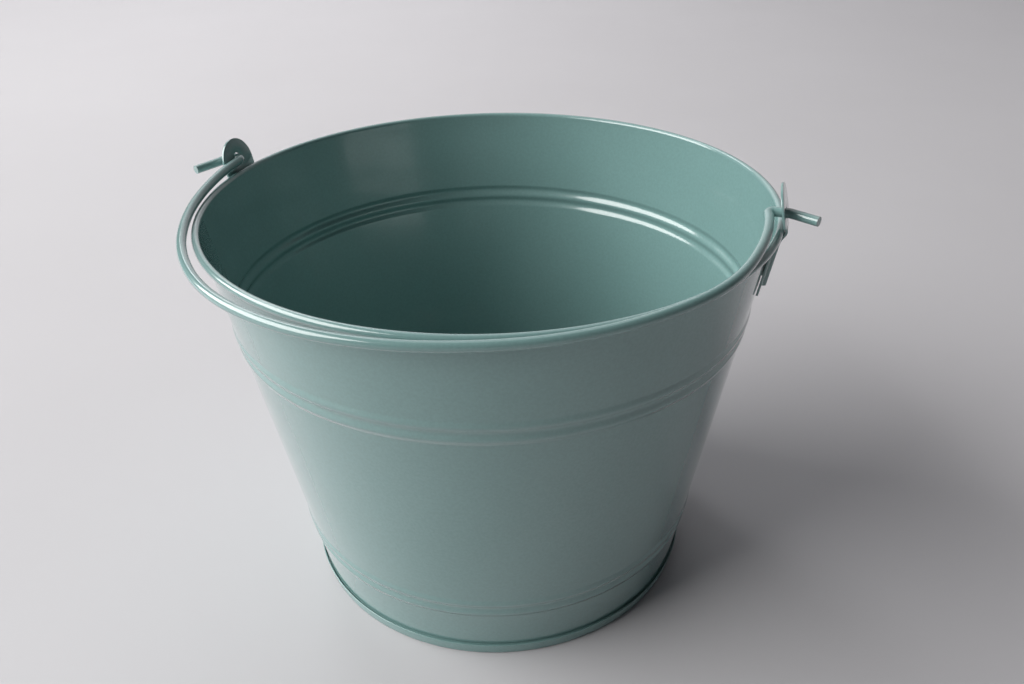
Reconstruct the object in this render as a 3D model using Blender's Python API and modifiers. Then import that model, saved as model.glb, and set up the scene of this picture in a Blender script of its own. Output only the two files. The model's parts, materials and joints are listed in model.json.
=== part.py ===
"""Florist bucket: a rolled sheet-steel cone with a seamed base, two stamped ears and a swinging wire bail."""

import math

import bmesh
import bpy
from mathutils import Matrix, Vector

# Sizes of the bucket, in metres. The axis is Z, the floor is z = 0, and the ears lie on X.
RIM_RADIUS = 0.1084  # axis to the middle of the rolled rim
RIM_HEIGHT = 0.1601  # floor to the middle of the rolled rim
FOOT_RADIUS = 0.0811  # outside of the wall, carried straight down to the floor
RIM_ROLL = 0.0015  # radius of the rolled rim's section
SHEET = 0.0005
GAP = 0.0003  # between pieces that touch
ROUND_STEPS = 72

# Pressed ribs: (middle of the pair above the floor, half the distance between its two ribs, height)
UPPER_RIBS_DROP = 0.0384  # middle of the upper pair, below the middle of the rim's roll
RIB_PAIRS = (
    (RIM_HEIGHT - UPPER_RIBS_DROP, 0.0027, 0.0007),
    (0.0285, 0.0027, 0.0006),
)

# Hem at the bottom of the wall, and the base seamed round it
HEM_TOP = 0.0042
HEM_FOLD = 0.00045  # how far the folded edge stands out of the wall
BASE_BAND = 0.0053  # height of the base's turned-up edge
BASE_RECESS = 0.0030  # floor to the underside of the disc
EDGE_ROUND = 0.0003

# Bail
WIRE_RADIUS = 0.00175
PIVOT_RISE = 0.0054  # middle of the rim's roll to the pivot axis
WIRE_CLEARANCE = 0.0002  # between the resting bail and the rim
FRONT_DROP = 0.0004  # how far the bail lies below the middle of the rim's roll at the front
# How far the bail stands outside the rim's middle, at equal angles from the left ear to the right one
STAND_OUT = (
    0.0009,
    0.0014,
    0.0030,
    0.0054,
    0.0071,
    0.0067,
    0.0053,
    0.0039,
    0.0036,
    0.0034,
    0.0028,
    -0.0010,
    -0.0047,
)
STEPS_PER_SPAN = 3
KNEE_RADIUS = 0.0023  # middle of the wire, where it turns into the ear
KNEE_STEPS = 5
# Ends of the bail, left then right: (bend towards the bail's arc in degrees, straight length past the bend)
TAILS = (
    (66.0, 0.0155),
    (25.0, 0.0103),
)
TAIL_CLEARANCE = 0.0005  # from the ear's outer face to where the end starts to bend

# Ears: a round-topped tab outside the rim's roll, a neck, and a raised channel between two wings on the wall
EAR_SHEET = 0.0008
EAR_LENGTH = 0.0373  # height from the tab's crown to the bottom of the wings
TAB_WIDTH = 0.0191
TAB_LENGTH = 0.0137
TAB_STEPS = 8
HOLE_RADIUS = WIRE_RADIUS + 0.0004
HOLE_STEPS = 16
# Left then right: (lean of the tab towards the bucket's axis in degrees, crown above the middle of the rim's roll)
TABS = (
    (-11.0, 0.0130),
    (13.4, 0.0159),
)
# Below the middle of the rim's roll
NECK_BEND = 0.0006
WING_TOP = 0.0026
CHANNEL_START = 0.0045
CHANNEL_TOP = 0.0076  # width of the neck and of the channel's flat
CHANNEL_FOOT = 0.0092  # width of the channel where it meets the wings
CHANNEL_RISE = 0.0025  # channel's outer face, outside the wall
WING_WIDTH = 0.0260
WING_ROWS = 4

POWDER_GREEN = (0.335, 0.400, 0.300, 1.0)


def wall_radius(z):
    top = RIM_RADIUS - RIM_ROLL + SHEET
    return FOOT_RADIUS + (top - FOOT_RADIUS) * z / RIM_HEIGHT


def rib_points():
    """Heights and stand-outs of the ribs, from the top down."""
    points = []
    for middle, spacing, height in RIB_PAIRS:
        quarter = spacing / 2
        for step in range(9):
            swell = (0, 0.5, 1, 0.5)[step % 4]
            points.append((middle + (4 - step) * quarter, swell * height))
    return points


def clear_scene():
    for item in list(bpy.data.objects):
        bpy.data.objects.remove(item, do_unlink=True)


def collection(name):
    made = bpy.data.collections.new(name)
    bpy.context.scene.collection.children.link(made)
    return made


def material(name, colour, roughness, metallic):
    made = bpy.data.materials.new(name)
    made.use_nodes = True
    shader = made.node_tree.nodes["Principled BSDF"]
    shader.inputs["Base Color"].default_value = colour
    shader.inputs["Roughness"].default_value = roughness
    shader.inputs["Metallic"].default_value = metallic
    return made


def add_object(name, data, coat, group):
    made = bpy.data.objects.new(name, data)
    group.objects.link(made)
    made.data.materials.append(coat)
    return made


def turned(name, outline, is_loop, coat, group):
    """A closed shell turned about Z from an outline of (radius, height) that runs down its outer side."""
    mesh = bpy.data.meshes.new(name)
    last = len(outline) - 1
    edges = [(n, n + 1) for n in range(last)]
    if is_loop:
        edges.append((last, 0))
    mesh.from_pydata([(radius, 0, height) for radius, height in outline], edges, [])
    made = add_object(name, mesh, coat, group)
    screw = made.modifiers.new("turn", "SCREW")
    screw.axis = "Z"
    screw.steps = ROUND_STEPS
    screw.render_steps = ROUND_STEPS
    screw.use_merge_vertices = True
    screw.merge_threshold = 1e-5
    screw.use_smooth_shade = True
    return made


def wall_outline():
    """Outside of the roll, down the outer face with its ribs, round the hem and up the inner face."""
    outline = []
    for degrees in range(180, -136, -35):
        turn = math.radians(degrees)
        outline.append((RIM_RADIUS + RIM_ROLL * math.cos(turn), RIM_HEIGHT + RIM_ROLL * math.sin(turn)))
    below_roll = RIM_HEIGHT - 2 * RIM_ROLL
    outline.append((wall_radius(below_roll), below_roll))
    ribs = rib_points()
    for height, swell in ribs:
        outline.append((wall_radius(height) + swell, height))
    fold_top = HEM_TOP + HEM_FOLD
    edge = SHEET + GAP
    outline.append((wall_radius(fold_top), fold_top))
    outline.append((wall_radius(HEM_TOP) + HEM_FOLD, HEM_TOP))
    outline.append((wall_radius(edge) + HEM_FOLD, edge))
    outline.append((wall_radius(edge) - SHEET, edge))
    for height, swell in reversed(ribs):
        outline.append((wall_radius(height) + swell - SHEET, height))
    return outline


def base_outline():
    """Top of the disc from the axis, down the inside of the wall, up its outside, and back under the disc."""
    inner = -SHEET - GAP
    outer = HEM_FOLD + GAP
    disc_top = BASE_RECESS + SHEET
    band_inner = wall_radius(BASE_BAND) + outer
    return [
        (0, disc_top),
        (wall_radius(disc_top) + inner, disc_top),
        (wall_radius(SHEET) + inner, SHEET),
        (wall_radius(SHEET) + outer, SHEET),
        (band_inner, BASE_BAND),
        (band_inner + SHEET - EDGE_ROUND, BASE_BAND),
        (wall_radius(BASE_BAND - EDGE_ROUND) + outer + SHEET, BASE_BAND - EDGE_ROUND),
        (wall_radius(EDGE_ROUND) + outer + SHEET, EDGE_ROUND),
        (wall_radius(0) + outer + SHEET - EDGE_ROUND, 0),
        (wall_radius(0) + inner - SHEET + EDGE_ROUND, 0),
        (wall_radius(EDGE_ROUND) + inner - SHEET, EDGE_ROUND),
        (wall_radius(BASE_RECESS) + inner - SHEET, BASE_RECESS),
        (0, BASE_RECESS),
    ]


def tab_face(lean, height):
    """Distance from the axis to the outer face of a tab, at a height above the middle of the rim's roll."""
    return RIM_RADIUS + (RIM_ROLL + GAP + EAR_SHEET - height * math.sin(lean)) / math.cos(lean)


def between(values, position):
    """Smooth curve through evenly spaced values."""
    last = len(values) - 1
    start = min(int(position), last - 1)
    part = position - start
    near = values[start]
    far = values[start + 1]
    before = values[start - 1] if start else 2 * near - far
    after = values[start + 2] if start + 2 <= last else 2 * far - near
    leaving = (far - before) / 2
    arriving = (after - near) / 2
    swing = 2 * (near - far) + leaving + arriving
    pull = 3 * (far - near) - 2 * leaving - arriving
    return ((swing * part + pull) * part + leaving) * part + near


def bail_slope():
    """Fall of the resting bail's plane for each metre forward of the pivot axis."""
    front = RIM_RADIUS + STAND_OUT[len(STAND_OUT) // 2]
    return (PIVOT_RISE + FRONT_DROP) / front


def bail_height(forward):
    return PIVOT_RISE - bail_slope() * forward


def leg_limit(lean_degrees, crown, forward):
    """How far out a point of the bail can lie and still pass its leaning tab as it swings up."""
    lean = math.radians(lean_degrees)
    height = PIVOT_RISE
    if lean > 0:
        height += min(forward, crown - PIVOT_RISE)
    return tab_face(lean, height) - (EAR_SHEET + WIRE_RADIUS + WIRE_CLEARANCE) / math.cos(lean)


def arc_points():
    """(x, forward) of the bail from ear to ear, clear of the rim's roll and of both tabs."""
    reach = RIM_ROLL + WIRE_RADIUS + WIRE_CLEARANCE
    spans = (len(STAND_OUT) - 1) * STEPS_PER_SPAN
    points = []
    for step in range(spans + 1):
        angle = math.pi * step / spans
        out = between(STAND_OUT, step / STEPS_PER_SPAN)
        rise = bail_height((RIM_RADIUS + out) * math.sin(angle))
        if abs(rise) < reach:
            out = max(out, math.sqrt(reach**2 - rise**2))
        radius = RIM_RADIUS + out
        across = radius * abs(math.cos(angle))
        forward = radius * math.sin(angle)
        side = -1 if 2 * step < spans else 1
        if forward < TAB_LENGTH:
            across = min(across, leg_limit(*TABS[(side + 1) // 2], forward))
        points.append((side * across, forward))
    return points


def bend(corner, start, end, radius, steps):
    """Arc that rounds the corner between two directions, as (x, forward) points."""
    turn = math.acos(max(-1.0, min(1.0, start.dot(end))))
    setback = radius * math.tan(turn / 2)
    middle = corner - start * setback
    side = (end - start * start.dot(end)).normalized()
    centre = middle + side * radius
    points = []
    for step in range(steps + 1):
        angle = turn * step / steps
        points.append(centre - side * radius * math.cos(angle) + start * radius * math.sin(angle))
    return points


def bail_end(side, leg_x, face, bend_degrees, length):
    """Points of one end of the bail, from its leg out through the ear to its tip; side is -1 left, 1 right."""
    outward = Vector((side, 0))
    to_pivot = Vector((0, -1))
    knee = bend(Vector((leg_x, 0)), to_pivot, outward, KNEE_RADIUS, KNEE_STEPS)
    turn = math.radians(bend_degrees)
    tail = Vector((side * math.cos(turn), math.sin(turn)))
    setback = KNEE_RADIUS * math.tan(turn / 2)
    corner = Vector((side * (face + TAIL_CLEARANCE + setback), 0))
    outer = bend(corner, outward, tail, KNEE_RADIUS, KNEE_STEPS)
    tip = corner + tail * (length + setback)
    return [*knee, *outer, tip]


def add_bail(coat, group):
    """The wire lies in its own XY plane with the pivot axis on X, and is tilted to rest on the rim."""
    arc = [Vector(point) for point in arc_points()]
    legs = [point for point in arc[1:-1] if point.y > 2 * KNEE_RADIUS]
    faces = [tab_face(math.radians(lean), PIVOT_RISE) for lean, _ in TABS]
    left = bail_end(-1, arc[0].x, faces[0], *TAILS[0])
    right = bail_end(1, arc[-1].x, faces[1], *TAILS[1])
    path = [*reversed(left), *legs, *right]
    curve = bpy.data.curves.new("bail_wire", "CURVE")
    curve.dimensions = "3D"
    curve.bevel_depth = WIRE_RADIUS
    curve.bevel_resolution = 3
    curve.use_fill_caps = True
    spline = curve.splines.new("POLY")
    spline.points.add(len(path) - 1)
    for point, place in zip(spline.points, path):
        point.co = (place.x, -place.y, 0, 1)
    made = add_object("bail", curve, coat, group)
    made.location = (0, 0, RIM_HEIGHT + PIVOT_RISE)
    made.rotation_euler = (math.atan(bail_slope()), 0, 0)
    return made


def tab_edge(shoulder, crown, lean):
    """(across, height) round the tab, from one side of the neck over the round top to the other."""
    half = TAB_WIDTH / 2
    right = [(CHANNEL_TOP / 2, shoulder), (half, shoulder)]
    for step in range(TAB_STEPS + 1):
        turn = math.pi / 2 * step / TAB_STEPS
        right.append((half * math.cos(turn), crown - half * (1 - math.sin(turn)) * math.cos(lean)))
    left = [(-across, height) for across, height in reversed(right[:-1])]
    return right + left


def channel_face(drop, lean):
    """Distance from the axis to the outer face of the neck and the channel, below the middle of the rim's roll."""
    if drop >= CHANNEL_START:
        return wall_radius(RIM_HEIGHT - drop) + CHANNEL_RISE
    start = tab_face(lean, -NECK_BEND)
    share = (drop - NECK_BEND) / (CHANNEL_START - NECK_BEND)
    return start + (wall_radius(RIM_HEIGHT - CHANNEL_START) + CHANNEL_RISE - start) * share


def wing_row(drop, lean):
    """Outer face of an ear from wing to wing, as (distance from the axis's plane, across, height)."""
    raised = channel_face(drop, lean)
    face = wall_radius(RIM_HEIGHT - drop) + GAP + EAR_SHEET
    half = [(raised, CHANNEL_TOP / 2)]
    for across in (CHANNEL_FOOT / 2, (CHANNEL_FOOT + WING_WIDTH) / 4, WING_WIDTH / 2):
        half.append((math.sqrt(face**2 - across**2), across))
    left = [(out, -across) for out, across in reversed(half)]
    return [(out, across, -drop) for out, across in [*left, (raised, 0), *half]]


def add_ear(name, side, lean_degrees, crown, coat, group):
    """Pierced tab, neck, and the rows of the channel and its wings, as one sheet given its thickness inwards."""
    lean = math.radians(lean_degrees)
    shoulder = crown - TAB_LENGTH * math.cos(lean)
    built = bmesh.new()
    ring = []
    for across, height in tab_edge(shoulder, crown, lean):
        ring.append(built.verts.new((tab_face(lean, height), across, height)))
    hole = []
    for step in range(HOLE_STEPS):
        turn = 2 * math.pi * step / HOLE_STEPS
        height = PIVOT_RISE + HOLE_RADIUS * math.sin(turn) * math.cos(lean)
        hole.append(built.verts.new((tab_face(lean, height), HOLE_RADIUS * math.cos(turn), height)))
    edges = []
    for loop in (ring, hole):
        for first, second in zip(loop, loop[1:] + loop[:1]):
            edges.append(built.edges.new((first, second)))
    bmesh.ops.triangle_fill(built, use_beauty=True, edges=edges)

    neck = [(tab_face(lean, -NECK_BEND), across, -NECK_BEND) for across in (-CHANNEL_TOP / 2, CHANNEL_TOP / 2)]
    bottom = EAR_LENGTH - crown
    drops = [WING_TOP, CHANNEL_START]
    drops += [CHANNEL_START + (bottom - CHANNEL_START) * n / WING_ROWS for n in range(1, WING_ROWS + 1)]
    rows = []
    for drop in drops:
        rows.append([built.verts.new(place) for place in wing_row(drop, lean)])
    for upper, lower in zip(rows, rows[1:]):
        for n in range(len(upper) - 1):
            built.faces.new((upper[n], upper[n + 1], lower[n + 1], lower[n]))
    bent = [built.verts.new(place) for place in neck]
    built.faces.new((ring[-1], ring[0], bent[1], bent[0]))
    built.faces.new((bent[0], bent[1], *reversed(rows[0][3:6])))
    bmesh.ops.recalc_face_normals(built, faces=built.faces)
    if max(built.faces, key=lambda item: item.calc_area()).normal.x < 0:
        bmesh.ops.reverse_faces(built, faces=built.faces)
    mesh = bpy.data.meshes.new(name)
    built.to_mesh(mesh)
    built.free()
    mesh.transform(Matrix.Translation((0, 0, RIM_HEIGHT)))
    if side < 0:
        mesh.transform(Matrix.Rotation(math.pi, 4, "Z"))
    made = add_object(name, mesh, coat, group)
    thick = made.modifiers.new("sheet", "SOLIDIFY")
    thick.thickness = EAR_SHEET
    thick.offset = -1
    thick.use_even_offset = True
    return made


def build():
    clear_scene()
    group = collection("florist_bucket")
    wall_coat = material("wall_powder_coat", POWDER_GREEN, 0.28, 0.0)
    base_coat = material("base_powder_coat", POWDER_GREEN, 0.32, 0.0)
    ear_coat = material("ear_powder_coat", POWDER_GREEN, 0.30, 0.0)
    wire_coat = material("bail_powder_coat", POWDER_GREEN, 0.26, 0.0)
    turned("bucket_wall", wall_outline(), True, wall_coat, group)
    turned("base", base_outline(), False, base_coat, group)
    add_ear("ear_left", -1, *TABS[0], ear_coat, group)
    add_ear("ear_right", 1, *TABS[1], ear_coat, group)
    add_bail(wire_coat, group)


build()
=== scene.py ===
"""A florist's bucket in glossy sage-green powder coat, standing on a pale studio floor."""

import json
import math

import bmesh
import bpy
from mathutils import Matrix, Vector


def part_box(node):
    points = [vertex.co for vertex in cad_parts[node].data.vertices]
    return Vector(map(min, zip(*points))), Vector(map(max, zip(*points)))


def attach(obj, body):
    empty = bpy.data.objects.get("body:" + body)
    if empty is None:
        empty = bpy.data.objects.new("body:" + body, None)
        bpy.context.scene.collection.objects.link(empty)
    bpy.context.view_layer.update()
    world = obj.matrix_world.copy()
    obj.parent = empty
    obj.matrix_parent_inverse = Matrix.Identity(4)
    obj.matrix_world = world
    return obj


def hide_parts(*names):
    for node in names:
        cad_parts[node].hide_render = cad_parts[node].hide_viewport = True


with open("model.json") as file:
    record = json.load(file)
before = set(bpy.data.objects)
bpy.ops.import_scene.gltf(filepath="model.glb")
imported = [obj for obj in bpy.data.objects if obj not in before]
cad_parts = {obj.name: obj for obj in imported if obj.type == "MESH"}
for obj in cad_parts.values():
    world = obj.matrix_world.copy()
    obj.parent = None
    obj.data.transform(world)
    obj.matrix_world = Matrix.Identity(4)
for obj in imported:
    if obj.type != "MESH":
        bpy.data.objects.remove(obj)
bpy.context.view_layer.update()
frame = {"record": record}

# Wall: a cone rolled from sheet steel, its top edge curled outwards into a bead, two pairs of ribs
# rolled into it from inside, and its bottom edge folded out for the base. It is powder-coated after
# assembly, so the coat runs over every edge and is thinnest on the sharp ones.
wall_low, wall_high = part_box("bucket_wall")
RIM_ROLL = 0.0015
SHEET = 0.0005
RIM_HEIGHT = wall_high.z - RIM_ROLL
RIM_RADIUS = (wall_high.x - wall_low.x) / 2 - RIM_ROLL
FOOT_RADIUS = 0.0811
HEM_TOP = 0.0042
HEM_FOLD = 0.00045
SEAM_GAP = 0.0003
CURL_STEPS = 40
RIB_STEPS = 48
HEM_STEPS = 8
WALL_STEPS = 288
SHARP_ANGLE = 50
# Each pair of ribs: its middle height, half the distance between them, and how far they rise.
RIB_PAIRS = (
    (0.1217, 0.0027, 0.0007),
    (0.0285, 0.0027, 0.0006),
)


def wall_radius(height):
    top = RIM_RADIUS - RIM_ROLL + SHEET
    return FOOT_RADIUS + (top - FOOT_RADIUS) * height / RIM_HEIGHT


def rib_swell(height):
    """How far the ribs push the wall out at this height."""
    swell = 0
    for middle, spacing, tall in RIB_PAIRS:
        for centre in (middle - spacing, middle + spacing):
            share = abs(height - centre) / spacing
            if share < 1:
                swell += tall * math.cos(share * math.pi / 2) ** 2
    return swell


def arc(centre, radius, start, end, steps):
    """Points of a round stretch of an outline, turned between two angles in degrees."""
    points = []
    for step in range(steps + 1):
        turn = math.radians(start + (end - start) * step / steps)
        points.append((centre[0] + radius * math.cos(turn), centre[1] + radius * math.sin(turn)))
    return points


def wall_outline():
    """Round the curled rim, down the outside, round the folded hem and up the inside."""
    outline = arc((RIM_RADIUS, RIM_HEIGHT), RIM_ROLL, 178, -142, CURL_STEPS)
    heights = [RIM_HEIGHT - 2 * RIM_ROLL]
    for middle, spacing, _ in RIB_PAIRS:
        top = middle + 2 * spacing
        heights += [top - 4 * spacing * step / RIB_STEPS for step in range(RIB_STEPS + 1)]
    hem = HEM_TOP + 2 * HEM_FOLD
    down = [(wall_radius(z) + rib_swell(z), z) for z in heights]
    down.append((wall_radius(hem), hem))
    for step in range(1, HEM_STEPS + 1):
        share = step / HEM_STEPS
        z = hem - 2 * HEM_FOLD * share
        down.append((wall_radius(z) + HEM_FOLD * (3 - 2 * share) * share**2, z))
    edge = SHEET + SEAM_GAP
    down.append((wall_radius(edge) + HEM_FOLD, edge))
    up = [(wall_radius(edge) - SHEET, edge)]
    up += [(wall_radius(z) + rib_swell(z) - SHEET, z) for z in reversed(heights)]
    return outline + down + up


def node(tree, kind, x, y, **values):
    """A new node, with each named value set on the node or else on its input of that name."""
    made = tree.nodes.new(kind)
    made.location = (x, y)
    for key, value in values.items():
        if hasattr(made, key):
            setattr(made, key, value)
        else:
            made.inputs[key].default_value = value
    return made


def node_group(name, values):
    """A tree with a geometry in and out, and an input for each (name, socket type)."""
    tree = bpy.data.node_groups.new(name, "GeometryNodeTree")
    tree.interface.new_socket("Geometry", in_out="INPUT", socket_type="NodeSocketGeometry")
    tree.interface.new_socket("Geometry", in_out="OUTPUT", socket_type="NodeSocketGeometry")
    for label, kind in values:
        tree.interface.new_socket(label, in_out="INPUT", socket_type=kind)
    return tree, node(tree, "NodeGroupInput", -800, 0), node(tree, "NodeGroupOutput", 800, 0)


def close_group(tree, shape, group_in, group_out):
    """Ends the tree with real geometry and its material."""
    real = node(tree, "GeometryNodeRealizeInstances", 300, 0)
    coated = node(tree, "GeometryNodeSetMaterial", 550, 0)
    tree.links.new(shape, real.inputs["Geometry"])
    tree.links.new(real.outputs["Geometry"], coated.inputs["Geometry"])
    tree.links.new(group_in.outputs["Coat"], coated.inputs["Material"])
    tree.links.new(coated.outputs["Geometry"], group_out.inputs["Geometry"])


def grown(name, line, is_ring, tree, values):
    """A plain mesh that the tree makes from a line of points, smooth but for its sharp edges."""
    start = bpy.data.meshes.new(name)
    pairs = [(n, n + 1) for n in range(len(line) - 1)]
    if is_ring:
        pairs.append((len(line) - 1, 0))
    start.from_pydata(line, pairs, [])
    guide = bpy.data.objects.new(name + "_line", start)
    bpy.context.scene.collection.objects.link(guide)
    modifier = guide.modifiers.new("shape", "NODES")
    modifier.node_group = tree
    for item in tree.interface.items_tree:
        if item.in_out == "INPUT" and item.name in values:
            modifier[item.identifier] = values[item.name]
    graph = bpy.context.evaluated_depsgraph_get()
    mesh = bpy.data.meshes.new_from_object(guide.evaluated_get(graph), depsgraph=graph)
    guide.modifiers.remove(modifier)
    bpy.data.objects.remove(guide)
    bpy.data.meshes.remove(start)
    mesh.name = name
    built = bmesh.new()
    built.from_mesh(mesh)
    bmesh.ops.recalc_face_normals(built, faces=built.faces)
    built.to_mesh(mesh)
    built.free()
    mesh.shade_smooth()
    mesh.set_sharp_from_angle(angle=math.radians(SHARP_ANGLE))
    made = bpy.data.objects.new(name, mesh)
    bpy.context.scene.collection.objects.link(made)
    return made


turned_tree, turned_in, turned_out = node_group("turned shell", (
    ("Path radius", "NodeSocketFloat"),
    ("Steps", "NodeSocketInt"),
    ("Coat", "NodeSocketMaterial"),
))
outline_curve = node(turned_tree, "GeometryNodeMeshToCurve", -500, 0)
path = node(turned_tree, "GeometryNodeCurvePrimitiveCircle", -500, 250)
swept = node(turned_tree, "GeometryNodeCurveToMesh", -250, 100)
joined = node(turned_tree, "GeometryNodeMergeByDistance", 0, 100)
joined.inputs["Distance"].default_value = 1e-6
turned_tree.links.new(turned_in.outputs["Geometry"], outline_curve.inputs["Mesh"])
turned_tree.links.new(turned_in.outputs["Path radius"], path.inputs["Radius"])
turned_tree.links.new(turned_in.outputs["Steps"], path.inputs["Resolution"])
turned_tree.links.new(path.outputs["Curve"], swept.inputs["Curve"])
turned_tree.links.new(outline_curve.outputs["Curve"], swept.inputs["Profile Curve"])
turned_tree.links.new(swept.outputs["Mesh"], joined.inputs["Geometry"])
close_group(turned_tree, joined.outputs["Geometry"], turned_in, turned_out)


def turned(name, outline, is_ring, coat):
    """A closed shell made by carrying an outline of (radius, height) round the bucket's axis."""
    line = [(radius - RIM_RADIUS, -height, 0) for radius, height in outline]
    values = {"Path radius": RIM_RADIUS, "Steps": WALL_STEPS, "Coat": coat}
    return grown(name, line, is_ring, turned_tree, values)


def noise(tree, at, x, y, scale, detail, roughness):
    made = node(tree, "ShaderNodeTexNoise", x, y)
    made.inputs["Scale"].default_value = scale
    made.inputs["Detail"].default_value = detail
    made.inputs["Roughness"].default_value = roughness
    tree.links.new(at, made.inputs["Vector"])
    return made


def spread(tree, value, low, high, to_low, to_high, x, y):
    made = node(tree, "ShaderNodeMapRange", x, y)
    made.inputs["From Min"].default_value = low
    made.inputs["From Max"].default_value = high
    made.inputs["To Min"].default_value = to_low
    made.inputs["To Max"].default_value = to_high
    tree.links.new(value, made.inputs["Value"])
    return made.outputs["Result"]


COAT_IOR = 1.52
COAT_ROUGHNESS = 0.08
WORN_SAGE = (0.34, 0.42, 0.40)
WAVE_DEPTH = 0.0004
PEEL_DEPTH = 0.00006


def powder_coat(name, deep, light, gloss, peel, worn):
    """Powder coat baked to a gloss: faint flow, fine orange peel, thin and pale on sharp edges."""
    made = bpy.data.materials.new(name)
    made.use_nodes = True
    tree = made.node_tree
    shader = tree.nodes["Principled BSDF"]
    shader.inputs["IOR"].default_value = COAT_IOR
    shader.inputs["Coat Weight"].default_value = 1.0
    shader.inputs["Coat Roughness"].default_value = COAT_ROUGHNESS
    place = node(tree, "ShaderNodeTexCoord", -1500, 0).outputs["Object"]

    flow = noise(tree, place, -1300, 300, 9, 3, 0.5)
    speck = noise(tree, place, -1300, 80, 900, 2, 0.6)
    tone = node(tree, "ShaderNodeMix", -800, 300, data_type="RGBA")
    tone.inputs["A"].default_value = (*deep, 1)
    tone.inputs["B"].default_value = (*light, 1)
    blend = spread(tree, flow.outputs["Fac"], 0.3, 0.7, 0, 1, -1050, 300)
    tree.links.new(blend, tone.inputs["Factor"])

    dust = node(tree, "ShaderNodeMix", -550, 300, data_type="RGBA", blend_type="MULTIPLY")
    dust.inputs["Factor"].default_value = 1
    tree.links.new(tone.outputs["Result"], dust.inputs["A"])
    grains = node(tree, "ShaderNodeCombineColor", -800, 80)
    shade = spread(tree, speck.outputs["Fac"], 0.35, 0.65, 0.96, 1.03, -1050, 80)
    for channel in ("Red", "Green", "Blue"):
        tree.links.new(shade, grains.inputs[channel])
    tree.links.new(grains.outputs["Color"], dust.inputs["B"])

    rub = noise(tree, place, -1300, -420, 260, 4, 0.7)
    edges = node(tree, "ShaderNodeNewGeometry", -1300, -200).outputs["Pointiness"]
    crest = spread(tree, edges, 0.53, 0.60, 0, 1, -1050, -200)
    patch = spread(tree, rub.outputs["Fac"], 0.5, 0.7, 0, worn, -1050, -420)
    wear = node(tree, "ShaderNodeMath", -800, -300, operation="MULTIPLY")
    tree.links.new(crest, wear.inputs[0])
    tree.links.new(patch, wear.inputs[1])
    paint = node(tree, "ShaderNodeMix", -300, 250, data_type="RGBA")
    paint.inputs["B"].default_value = (*WORN_SAGE, 1)
    tree.links.new(wear.outputs["Value"], paint.inputs["Factor"])
    tree.links.new(dust.outputs["Result"], paint.inputs["A"])
    tree.links.new(paint.outputs["Result"], shader.inputs["Base Color"])

    haze = noise(tree, place, -1300, -650, 38, 5, 0.6)
    dull = spread(tree, haze.outputs["Fac"], 0.3, 0.7, gloss - 0.03, gloss + 0.05, -800, -650)
    tree.links.new(dull, shader.inputs["Roughness"])

    ripple = noise(tree, place, -1300, -900, 420, 2, 0.5)
    drift = noise(tree, place, -1300, -1120, 60, 2, 0.5)
    waves = node(tree, "ShaderNodeBump", -550, -1100, Strength=peel)
    waves.inputs["Distance"].default_value = WAVE_DEPTH
    tree.links.new(drift.outputs["Fac"], waves.inputs["Height"])
    skin = node(tree, "ShaderNodeBump", -300, -900, Strength=peel)
    skin.inputs["Distance"].default_value = PEEL_DEPTH
    tree.links.new(ripple.outputs["Fac"], skin.inputs["Height"])
    tree.links.new(waves.outputs["Normal"], skin.inputs["Normal"])
    tree.links.new(skin.outputs["Normal"], shader.inputs["Normal"])
    tree.links.new(skin.outputs["Normal"], shader.inputs["Coat Normal"])
    return made


SAGE_DEEP = (0.178, 0.309, 0.298)
SAGE_LIGHT = (0.194, 0.332, 0.322)

wall_coat = powder_coat("sage powder coat on sheet", SAGE_DEEP, SAGE_LIGHT, 0.20, 0.12, 0.5)
wall = turned("wall_of_rolled_sheet", wall_outline(), True, wall_coat)
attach(wall, "bucket")
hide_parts("bucket_wall")

# Base: a pressed steel disc whose edge turns down inside the wall, under its folded hem and up the
# outside, where it is rolled tight. The bucket stands on the rounded bottom of that seam.
BAND_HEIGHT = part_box("base")[1].z
FOOT_ROUND = 0.0006
DISC_RECESS = 0.0030
DISC_RINGS = (0.030, 0.058)
RING_HEIGHT = 0.0005
RING_STEP = 0.0004
RING_STEPS = 6
SEAM_STEPS = 8


def base_outline():
    """Out over the disc, down the wall's inside, up its outside, and back under the disc."""
    inner = -SHEET - SEAM_GAP
    outer = HEM_FOLD + SEAM_GAP
    top = [(0, DISC_RECESS + SHEET)]
    under = [(0, DISC_RECESS)]
    for ring in DISC_RINGS:
        for step in range(-RING_STEPS, RING_STEPS + 1):
            radius = ring + RING_STEP * step
            rise = RING_HEIGHT * math.cos(step / RING_STEPS * math.pi / 2) ** 2
            top.append((radius, DISC_RECESS + SHEET + rise))
            under.append((radius, DISC_RECESS + rise))
    outer_foot = wall_radius(0) + outer + SHEET - FOOT_ROUND
    inner_foot = wall_radius(0) + inner - SHEET + FOOT_ROUND
    lip = SHEET / 2
    lip_radius = wall_radius(BAND_HEIGHT) + outer + lip
    seam = [
        (wall_radius(DISC_RECESS + SHEET) + inner, DISC_RECESS + SHEET),
        (wall_radius(SHEET) + inner, SHEET),
        (wall_radius(SHEET) + outer, SHEET),
        (wall_radius(BAND_HEIGHT - lip) + outer, BAND_HEIGHT - lip),
    ]
    seam += arc((lip_radius, BAND_HEIGHT - lip), lip, 170, 10, SEAM_STEPS)
    seam += arc((outer_foot, FOOT_ROUND), FOOT_ROUND, 0, -90, SEAM_STEPS)
    seam += arc((inner_foot, FOOT_ROUND), FOOT_ROUND, -90, -180, SEAM_STEPS)
    seam.append((wall_radius(DISC_RECESS) + inner - SHEET, DISC_RECESS))
    return top + seam + list(reversed(under))


base_coat = powder_coat("sage powder coat on base", SAGE_DEEP, SAGE_LIGHT, 0.22, 0.14, 0.6)
base = turned("seamed_base_disc", base_outline(), False, base_coat)
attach(base, "bucket")
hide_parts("base")

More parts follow.
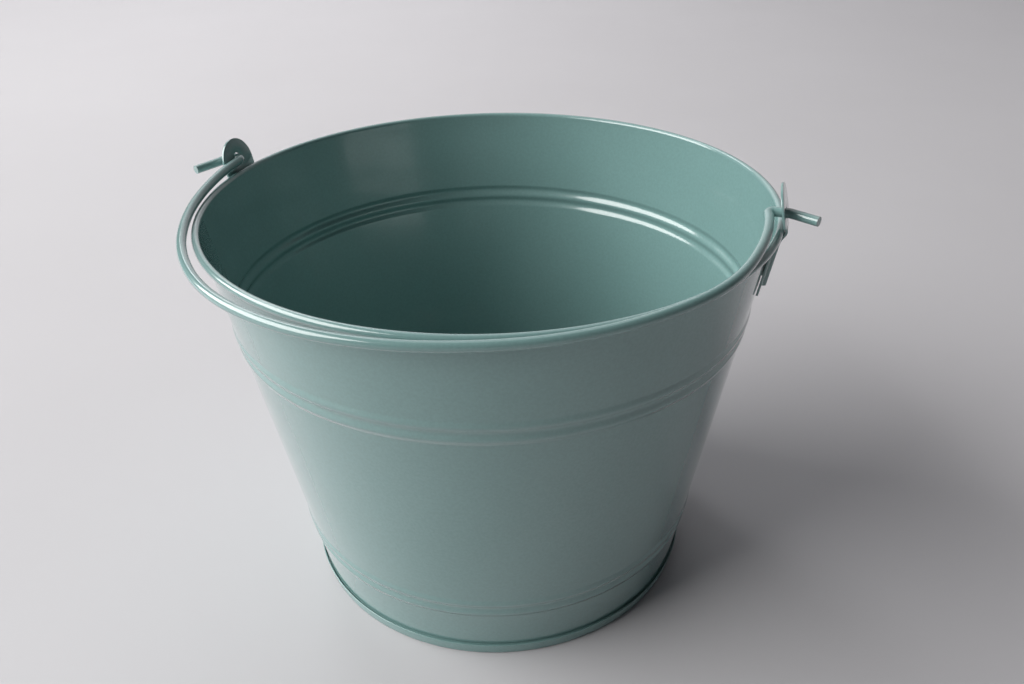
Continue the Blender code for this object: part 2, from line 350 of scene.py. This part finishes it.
# Ears: one stamping on each side. A round-topped tab stands over the rim, a narrow neck passes
# outside the curl, and below it a raised channel runs between wings spot-welded to the wall. Each is
# pierced in place and set by hand, so the two sit at different heights and lean different ways.
PIVOT_HEIGHT = frame["record"]["behaviour"]["joints"][0]["pos_m"][2]
EAR_SHEET = 0.0008
EAR_LENGTH = 0.0373
EAR_GAP = 0.0003
TAB_HALF = 0.00955
TAB_LENGTH = 0.0137
TAB_CORNER = 0.0011
HOLE_RADIUS = 0.00215
TAB_LEANS = {"ear_left": -11.0, "ear_right": 13.4}  # degrees inwards
NECK_BEND = RIM_HEIGHT - 0.0006
WING_TOP = RIM_HEIGHT - 0.0026
CHANNEL_START = RIM_HEIGHT - 0.0045
NECK_HALF = 0.0038
CHANNEL_SIDE = 0.0042
CHANNEL_ROUND = 0.00095
CHANNEL_FOOT = 0.0004
CHANNEL_RISE = 0.0025
WING_HALF = 0.0130
BEND_STEP = 0.0002
ROUND_STEPS = 5
NECK_STEPS = 5
WING_STEPS = 8
WING_ROWS = 28
NECK_ROWS = 12
HOLE_STEPS = 48
WELD_REACH = 0.00002
DEBURRING = 0.00015


def quarter(parts):
    """Even angles through a quarter turn."""
    return [math.pi / 2 * step / parts for step in range(parts + 1)]


def tab_face(lean, height):
    """Distance from the axis to the outer face of a leaning tab."""
    reach = RIM_ROLL + EAR_GAP + EAR_SHEET
    return RIM_RADIUS + (reach - (height - RIM_HEIGHT) * math.sin(lean)) / math.cos(lean)


def channel_line(lean, height):
    """Outer face down the middle of the ear: leaning tab, neck stepping in, and channel."""
    if height > NECK_BEND:
        return tab_face(lean, height)
    if height < CHANNEL_START:
        return wall_radius(height) + CHANNEL_RISE
    low = wall_radius(CHANNEL_START) + CHANNEL_RISE
    share = (height - CHANNEL_START) / (NECK_BEND - CHANNEL_START)
    return low + (tab_face(lean, NECK_BEND) - low) * share


def channel_face(lean, height):
    """The same line with its two bends rounded."""
    steps = [BEND_STEP * step for step in range(-3, 4)]
    return sum(channel_line(lean, height + step) for step in steps) / len(steps)


def ear_section(lean, height):
    """(out, across) of the outer face, from the middle of the channel to the edge of a wing."""
    wing = wall_radius(height) + EAR_GAP + EAR_SHEET
    channel = channel_face(lean, height)
    flat = CHANNEL_SIDE - CHANNEL_ROUND
    start = CHANNEL_SIDE + CHANNEL_FOOT
    points = [(channel, flat * step / (NECK_STEPS - 1)) for step in range(NECK_STEPS)]
    for turn in quarter(ROUND_STEPS)[1:]:
        out = channel - CHANNEL_ROUND * (1 - math.cos(turn))
        points.append((out, flat + CHANNEL_ROUND * math.sin(turn)))
    for turn in quarter(ROUND_STEPS):
        out = wing + CHANNEL_FOOT * (1 - math.sin(turn))
        points.append((out, start - CHANNEL_FOOT * math.cos(turn)))
    for step in range(1, WING_STEPS + 1):
        across = start + (WING_HALF - start) * step / WING_STEPS
        points.append((math.sqrt(wing**2 - across**2 + start**2), across))
    return points


def tab_edge(lean, crown, shoulder):
    """(across, height) round the tab, from one side of the neck over the top to the other."""
    flat = math.cos(lean)
    corner = arc((TAB_HALF - TAB_CORNER, shoulder + TAB_CORNER), TAB_CORNER, -90, 0, 6)
    top = arc((0, -TAB_HALF), TAB_HALF, 0, 90, 24)
    right = [(NECK_HALF, shoulder)]
    right += [(across, shoulder + (height - shoulder) * flat) for across, height in corner]
    right += [(across, crown + up * flat) for across, up in top]
    left = [(-across, height) for across, height in reversed(right[:-1])]
    neck = [(NECK_HALF * step / NECK_STEPS, shoulder) for step in range(1 - NECK_STEPS, NECK_STEPS)]
    return right + left + neck


def add_tab(built, lean, crown, shoulder):
    """The pierced tab over the rim."""
    edge = tab_edge(lean, crown, shoulder)
    ring = [built.verts.new((tab_face(lean, z), across, z)) for across, z in edge]
    hole = []
    for across, up in arc((0, 0), HOLE_RADIUS, 0, 360 - 360 / HOLE_STEPS, HOLE_STEPS - 1):
        height = PIVOT_HEIGHT + up * math.cos(lean)
        hole.append(built.verts.new((tab_face(lean, height), across, height)))
    loops = [pair for loop in (ring, hole) for pair in zip(loop, loop[1:] + loop[:1])]
    edges = [built.edges.new(pair) for pair in loops]
    bmesh.ops.triangle_fill(built, use_beauty=True, edges=edges)


def add_half(built, hand, lean, shoulder, foot):
    """The wing and half the channel on one hand, with half the neck that joins them to the tab."""
    rows = []
    for step in range(WING_ROWS + 1):
        height = WING_TOP + (foot - WING_TOP) * step / WING_ROWS
        section = ear_section(lean, height)
        rows.append([built.verts.new((out, hand * across, height)) for out, across in section])
    for upper, lower in zip(rows, rows[1:]):
        for n in range(len(upper) - 1):
            built.faces.new((upper[n], upper[n + 1], lower[n + 1], lower[n]))
    previous = rows[0][: NECK_STEPS + 1]
    starts = [abs(vertex.co.y) for vertex in previous]
    for step in range(1, NECK_ROWS + 1):
        share = step / NECK_ROWS
        height = WING_TOP + (shoulder - WING_TOP) * share
        out = tab_face(lean, height) if step == NECK_ROWS else channel_face(lean, height)
        row = []
        for n, start in enumerate(starts):
            wide = start + (NECK_HALF * n / NECK_STEPS - start) * min(1, 2 * share)
            row.append(built.verts.new((out, hand * wide, height)))
        for n in range(NECK_STEPS):
            built.faces.new((previous[n], previous[n + 1], row[n + 1], row[n]))
        previous = row


def ear_mesh(name, side, lean, crown):
    """One ear, on the right as built, or turned half round for the left; side is -1 or 1."""
    shoulder = crown - TAB_LENGTH * math.cos(lean)
    built = bmesh.new()
    add_tab(built, lean, crown, shoulder)
    for hand in (1, -1):
        add_half(built, hand, lean, shoulder, crown - EAR_LENGTH)
    bmesh.ops.remove_doubles(built, verts=built.verts, dist=WELD_REACH)
    bmesh.ops.recalc_face_normals(built, faces=built.faces)
    if max(built.faces, key=lambda face: face.calc_area()).normal.x < 0:
        bmesh.ops.reverse_faces(built, faces=built.faces)
    mesh = bpy.data.meshes.new(name)
    built.to_mesh(mesh)
    built.free()
    if side < 0:
        mesh.transform(Matrix.Rotation(math.pi, 4, "Z"))
    mesh.shade_smooth()
    mesh.set_sharp_from_angle(angle=math.radians(40))
    made = bpy.data.objects.new(name, mesh)
    bpy.context.scene.collection.objects.link(made)
    thick = made.modifiers.new("sheet", "SOLIDIFY")
    thick.thickness = EAR_SHEET
    thick.offset = -1
    thick.use_even_offset = True
    edge = made.modifiers.new("deburred", "BEVEL")
    edge.width = DEBURRING
    edge.segments = 2
    edge.limit_method = "ANGLE"
    edge.angle_limit = math.radians(50)
    return made


ear_coat = powder_coat("sage powder coat on ears", SAGE_DEEP, SAGE_LIGHT, 0.22, 0.16, 0.8)
for name, side in (("ear_left", -1), ("ear_right", 1)):
    ear = ear_mesh("stamped_" + name, side, math.radians(TAB_LEANS[name]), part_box(name)[1].z)
    ear.data.materials.append(ear_coat)
    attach(ear, "bucket")
    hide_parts(name)

# Bail: one length of steel wire, bent to a hoop and turned out through both ears, its square-cut
# ends bent back by hand so that it can't pull out. It swings freely and rests folded on the rim.
WIRE_RADIUS = 0.00175
KNEE_RADIUS = 0.0023
# How far the hoop stands outside the rim, at even angles from the left ear to the right one.
STAND_OUT = (
    0.0009, 0.0014, 0.0030, 0.0054, 0.0071, 0.0067, 0.0053,
    0.0039, 0.0036, 0.0034, 0.0028, -0.0010, -0.0047,
)
FRONT_DROP = 0.0004
WIRE_CLEARANCE = 0.0002
# The left tail and the right one: its bend in degrees and its length.
TAILS = ((66.0, 0.0155), (25.0, 0.0103))
TAIL_CLEARANCE = 0.0005
PIVOT_RISE = PIVOT_HEIGHT - RIM_HEIGHT
ARC_STEPS = 12
KNEE_STEPS = 12
WIRE_SIDES = 40
BAIL_SLOPE = (PIVOT_RISE + FRONT_DROP) / (RIM_RADIUS + STAND_OUT[len(STAND_OUT) // 2])


def stand_out(position):
    """Smooth curve through the listed distances of the bail outside the rim."""
    last = len(STAND_OUT) - 1
    start = min(int(position), last - 1)
    part = position - start
    near, far = STAND_OUT[start], STAND_OUT[start + 1]
    before = STAND_OUT[start - 1] if start else 2 * near - far
    after = STAND_OUT[start + 2] if start + 2 <= last else 2 * far - near
    leaving, arriving = (far - before) / 2, (after - near) / 2
    swing = 2 * (near - far) + leaving + arriving
    pull = 3 * (far - near) - 2 * leaving - arriving
    return ((swing * part + pull) * part + leaving) * part + near


def hoop():
    """(x, forward) of the bail from ear to ear, lying against the curl where it meets it."""
    reach = RIM_ROLL + WIRE_RADIUS + WIRE_CLEARANCE
    spans = (len(STAND_OUT) - 1) * ARC_STEPS
    points = []
    for step in range(spans + 1):
        angle = math.pi * step / spans
        out = stand_out(step / ARC_STEPS)
        rise = PIVOT_RISE - BAIL_SLOPE * (RIM_RADIUS + out) * math.sin(angle)
        if abs(rise) < reach:
            out = max(out, math.sqrt(reach**2 - rise**2))
        radius = RIM_RADIUS + out
        points.append(Vector((-radius * math.cos(angle), radius * math.sin(angle))))
    return points


def bend(corner, start, end):
    """Arc that rounds a corner of the wire between two directions."""
    turn = start.angle(end)
    middle = corner - start * KNEE_RADIUS * math.tan(turn / 2)
    side = (end - start * start.dot(end)).normalized()
    centre = middle + side * KNEE_RADIUS
    points = []
    for step in range(KNEE_STEPS + 1):
        angle = turn * step / KNEE_STEPS
        back, along = KNEE_RADIUS * math.cos(angle), KNEE_RADIUS * math.sin(angle)
        points.append(centre - side * back + start * along)
    return points


def wire_end(side, leg_x, lean, bend_degrees, length):
    """From the leg, out through the ear and round to the cut tip; side is -1 left and 1 right."""
    outward = Vector((side, 0))
    turn = math.radians(bend_degrees)
    tail = Vector((side * math.cos(turn), math.sin(turn)))
    setback = KNEE_RADIUS * math.tan(turn / 2)
    outside = tab_face(math.radians(lean), PIVOT_HEIGHT) + TAIL_CLEARANCE
    corner = Vector((side * (outside + setback), 0))
    knee = bend(Vector((leg_x, 0)), Vector((0, -1)), outward)
    return [*knee, *bend(corner, outward, tail), corner + tail * (length + setback)]


wire_tree, wire_in, wire_out = node_group("wire sweep", (
    ("Wire radius", "NodeSocketFloat"),
    ("Sides", "NodeSocketInt"),
    ("Coat", "NodeSocketMaterial"),
))
run = node(wire_tree, "GeometryNodeMeshToCurve", -300, 0)
section = node(wire_tree, "GeometryNodeCurvePrimitiveCircle", -300, -200)
drawn = node(wire_tree, "GeometryNodeCurveToMesh", 0, 0)
drawn.inputs["Fill Caps"].default_value = True
wire_tree.links.new(wire_in.outputs["Geometry"], run.inputs["Mesh"])
wire_tree.links.new(wire_in.outputs["Wire radius"], section.inputs["Radius"])
wire_tree.links.new(wire_in.outputs["Sides"], section.inputs["Resolution"])
wire_tree.links.new(run.outputs["Curve"], drawn.inputs["Curve"])
wire_tree.links.new(section.outputs["Curve"], drawn.inputs["Profile Curve"])
close_group(wire_tree, drawn.outputs["Mesh"], wire_in, wire_out)

arch = hoop()
legs = [point for point in arch[1:-1] if point.y > 2 * KNEE_RADIUS]
left_end = wire_end(-1, arch[0].x, TAB_LEANS["ear_left"], *TAILS[0])
right_end = wire_end(1, arch[-1].x, TAB_LEANS["ear_right"], *TAILS[1])
wire_path = [(p.x, -p.y, 0) for p in (*reversed(left_end), *legs, *right_end)]
wire_coat = powder_coat("sage powder coat on wire", SAGE_DEEP, SAGE_LIGHT, 0.20, 0.16, 0.7)
inputs = {"Wire radius": WIRE_RADIUS, "Sides": WIRE_SIDES, "Coat": wire_coat}
bail = grown("bent_wire_bail", wire_path, False, wire_tree, inputs)
fold = Matrix.Rotation(math.atan(BAIL_SLOPE), 4, "X")
bail.data.transform(Matrix.Translation((0, 0, PIVOT_HEIGHT)) @ fold)
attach(bail, "bail")
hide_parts("bail")

# Studio: a pale matt floor that sweeps up behind, a large window-like light on the left, a weak one
# above and behind, one that lifts the back of the sweep, and a surround that darkens to the right.
FLOOR_HALF = 4.0
SWEEP_START = 1.6
SWEEP_RADIUS = 0.8
SWEEP_TOP = 3.0
SWEEP_STEPS = 24
FLOOR_DEEP = (0.53, 0.52, 0.535)
FLOOR_LIGHT = (0.58, 0.57, 0.585)
DAYLIGHT = (1.0, 0.99, 0.98)
SKYLIGHT = (0.98, 0.98, 1.0)


def pale_floor():
    made = bpy.data.materials.new("pale matt floor")
    made.use_nodes = True
    tree = made.node_tree
    shader = tree.nodes["Principled BSDF"]
    shader.inputs["Roughness"].default_value = 0.55
    place = node(tree, "ShaderNodeTexCoord", -900, 0).outputs["Object"]
    cloud = noise(tree, place, -700, 0, 3, 4, 0.55)
    tone = node(tree, "ShaderNodeMix", -300, 0, data_type="RGBA")
    tone.inputs["A"].default_value = (*FLOOR_DEEP, 1)
    tone.inputs["B"].default_value = (*FLOOR_LIGHT, 1)
    tree.links.new(cloud.outputs["Fac"], tone.inputs["Factor"])
    tree.links.new(tone.outputs["Result"], shader.inputs["Base Color"])
    return made


built = bmesh.new()
sweep = [(-FLOOR_HALF, 0)]
sweep += arc((SWEEP_START, SWEEP_RADIUS), SWEEP_RADIUS, -90, 0, SWEEP_STEPS)
sweep.append((SWEEP_START + SWEEP_RADIUS, SWEEP_TOP))
rows = []
for x in (-FLOOR_HALF, FLOOR_HALF):
    rows.append([built.verts.new((x, along, height)) for along, height in sweep])
for n in range(len(sweep) - 1):
    built.faces.new((rows[0][n], rows[1][n], rows[1][n + 1], rows[0][n + 1]))
floor_mesh = bpy.data.meshes.new("studio_floor")
built.to_mesh(floor_mesh)
built.free()
floor_mesh.shade_smooth()
floor_mesh.materials.append(pale_floor())
floor = bpy.data.objects.new("studio_floor", floor_mesh)
bpy.context.scene.collection.objects.link(floor)


def soft_light(name, place, target, size, power, colour):
    lamp = bpy.data.lights.new(name, "AREA")
    lamp.shape = "RECTANGLE"
    lamp.size, lamp.size_y = size
    lamp.energy = power
    lamp.color = colour
    made = bpy.data.objects.new(name, lamp)
    made.location = place
    made.rotation_euler = (Vector(target) - Vector(place)).to_track_quat("-Z", "Y").to_euler()
    bpy.context.scene.collection.objects.link(made)
    return made


AIM = (0, 0, 0.08)
soft_light("window", (-1.98, -0.95, 1.55), AIM, size=(3.0, 2.0), power=122, colour=DAYLIGHT)
soft_light("overhead", (-0.3, 0.9, 2.1), AIM, size=(1.4, 1.4), power=5, colour=SKYLIGHT)
soft_light("backdrop light", (-1.5, 1.5, 1.7), (-0.5, 2.4, 0.5), (1.4, 0.8), 16, SKYLIGHT)

surround = bpy.data.worlds.new("pale surround")
surround.use_nodes = True
sky = surround.node_tree
facing = node(sky, "ShaderNodeSeparateXYZ", -500, 0)
direction = node(sky, "ShaderNodeTexCoord", -700, 0).outputs["Generated"]
sky.links.new(direction, facing.inputs["Vector"])
level = spread(sky, facing.outputs["X"], -1, 0.6, 0.15, 0.04, -300, 0)
sky.nodes["Background"].inputs["Color"].default_value = (0.93, 0.94, 1.0, 1)
sky.links.new(level, sky.nodes["Background"].inputs["Strength"])
bpy.context.scene.world = surround
bpy.context.scene.view_settings.view_transform = "Standard"

# Camera: a moderately wide lens near the bucket, looking down into it from the front right.
CAMERA_PLACE = Vector((0.1103, -0.2972, 0.2825))
CAMERA_PITCH = -0.5349
CAMERA_HEADING = -0.3314
CAMERA_ROLL = -0.0215
LENS = 30.59

lens = bpy.data.cameras.new("camera")
lens.lens = LENS
lens.sensor_width = 36
lens.clip_start = 0.01
camera = bpy.data.objects.new("camera", lens)
ahead = Vector((
    math.sin(CAMERA_HEADING) * math.cos(CAMERA_PITCH),
    math.cos(CAMERA_HEADING) * math.cos(CAMERA_PITCH),
    math.sin(CAMERA_PITCH),
))
right = Vector((math.cos(CAMERA_HEADING), -math.sin(CAMERA_HEADING), 0))
above = right.cross(ahead)
tilted_right = right * math.cos(CAMERA_ROLL) + above * math.sin(CAMERA_ROLL)
tilted_above = above * math.cos(CAMERA_ROLL) - right * math.sin(CAMERA_ROLL)
turn = Matrix((tilted_right, tilted_above, -ahead)).transposed()
camera.matrix_world = Matrix.Translation(CAMERA_PLACE) @ turn.to_4x4()
bpy.context.scene.collection.objects.link(camera)
bpy.context.scene.camera = camera
